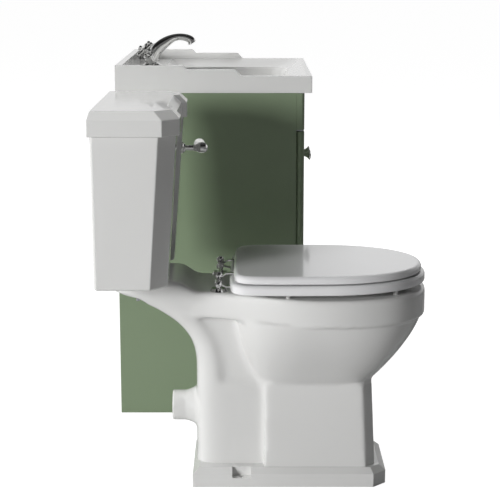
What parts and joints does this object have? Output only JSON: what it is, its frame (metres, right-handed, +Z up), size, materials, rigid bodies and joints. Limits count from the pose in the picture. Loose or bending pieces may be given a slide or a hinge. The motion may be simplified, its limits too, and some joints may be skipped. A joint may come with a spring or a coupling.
{
  "type": "combination vanity toilet unit",
  "caption": "Close-coupled toilet with lever cistern and hinged seat beside a floor-standing vanity cabinet with hinged doors, stepped ceramic basin and swan-neck mixer tap.",
  "frame": {"origin": "centre of the footprint's bounding box, on the floor", "axes": "+X from the toilet to the vanity, +Y to the wall, +Z up; the user faces the unit looking along +Y"},
  "size_m": [1.214, 0.697, 0.9221],
  "materials": {
    "china": "gloss glaze",
    "seat_gloss": "gloss white lacquer",
    "chrome": "polished",
    "cabinet_green": "satin sage green paint on board",
    "carcass_board": "matt board",
    "white_plastic": "moulded",
    "rubber": "soft grey",
    "zinc_steel": "zinc plated",
    "copper_tails": "bare tube"
  },
  "bodies": {
    "frame": {"back_panel": "carcass_board", "base_panel": "carcass_board", "basin": "china", "cistern_body": "china", "coupling_bolts": "zinc_steel", "coupling_washers": "rubber", "fascia": "cabinet_green", "fill_valve": "white_plastic", "flush_seal": "rubber", "flush_siphon": "white_plastic", "front_rail": "carcass_board", "hanging_rail": "carcass_board", "hinge_posts": "chrome", "hinge_rod": "chrome", "inlet_nut": "white_plastic", "lever_bush": "chrome", "lever_rosette": "chrome", "overflow_ring": "chrome", "pivot_plates": "zinc_steel", "plinth_board": "cabinet_green", "shelf": "carcass_board", "shelf_pins": "zinc_steel", "side_panel_left": "cabinet_green", "side_panel_right": "cabinet_green", "spout_nozzle": "white_plastic", "tap_body": "chrome", "tap_plate": "zinc_steel", "tap_stud": "zinc_steel", "tap_tails": "copper_tails", "toilet_pan": "china", "trap_bottle": "chrome", "trap_nut": "chrome", "trap_pipe": "chrome", "valve_bonnets": "chrome", "waste_body": "chrome", "waste_nut": "white_plastic", "waste_seal": "rubber"},
    "seat": {"toilet_seat": "seat_gloss", "seat_straps": "chrome", "seat_buffers": "rubber"},
    "cover": {"toilet_cover": "seat_gloss", "cover_straps": "chrome", "cover_buffers": "rubber"},
    "lever": {"lever_spindle": "chrome", "flush_lever": "chrome", "lever_grip": "china", "inner_arm": "zinc_steel"},
    "piston_rod": {"lift_rod": "zinc_steel"},
    "float": {"float_cup": "white_plastic"},
    "tank_lid": {"cistern_lid": "china"},
    "left_door": {"door_left": "cabinet_green", "knob_left": "chrome"},
    "right_door": {"door_right": "cabinet_green", "knob_right": "chrome"},
    "hot_tap": {"hot_handle": "chrome", "hot_cap": "china"},
    "cold_tap": {"cold_handle": "chrome", "cold_cap": "china"},
    "plug": {"waste_plug": "chrome"}
  },
  "joints": [
    {"name": "seat_hinge", "type": "hinge", "parent": "frame", "child": "seat", "pos_m": [-0.382, 0.0935, 0.447], "axis": [-1, 0, 0], "range_deg": [0, 86]},
    {"name": "cover_hinge", "type": "hinge", "parent": "seat", "child": "cover", "pos_m": [-0.382, 0.0935, 0.447], "axis": [1, 0, 0], "range_deg": [-86, 0]},
    {"name": "flush_lever_turn", "type": "hinge", "parent": "frame", "child": "lever", "pos_m": [-0.24, 0.17936, 0.7], "axis": [0, 1, 0], "range_deg": [0, 30], "stiffness_Nm_per_rad": 0.8, "springref_deg": -8.59},
    {"name": "piston_lift", "type": "slide", "parent": "frame", "child": "piston_rod", "axis": [0, 0, 1], "range_m": [0, 0.024]},
    {"name": "float_rise", "type": "slide", "parent": "frame", "child": "float", "axis": [0, 0, 1], "range_m": [0, 0.05]},
    {"name": "tank_lid_lift", "type": "slide", "parent": "frame", "child": "tank_lid", "axis": [0, 0, 1], "range_m": [0, 0.12]},
    {"name": "left_door_swing", "type": "hinge", "parent": "frame", "child": "left_door", "pos_m": [0.021, -0.094, 0.3855], "axis": [0, 0, -1], "range_deg": [0, 105]},
    {"name": "right_door_swing", "type": "hinge", "parent": "frame", "child": "right_door", "pos_m": [0.593, -0.094, 0.3855], "axis": [0, 0, 1], "range_deg": [0, 105]},
    {"name": "hot_turn", "type": "hinge", "parent": "frame", "child": "hot_tap", "pos_m": [0.28, 0.2805, 0.856], "axis": [-0.45, 0.4, 0.7984], "range_deg": [0, 90]},
    {"name": "cold_turn", "type": "hinge", "parent": "frame", "child": "cold_tap", "pos_m": [0.334, 0.2805, 0.856], "axis": [0.45, 0.4, 0.7984], "range_deg": [0, 90]},
    {"name": "plug_lift", "type": "slide", "parent": "frame", "child": "plug", "axis": [0, 0, 1], "range_m": [0, 0.008]}
  ],
  "couplings": [
    {"joint": "piston_lift", "follows": "flush_lever_turn", "m_per_rad": 0.042972}
  ]
}
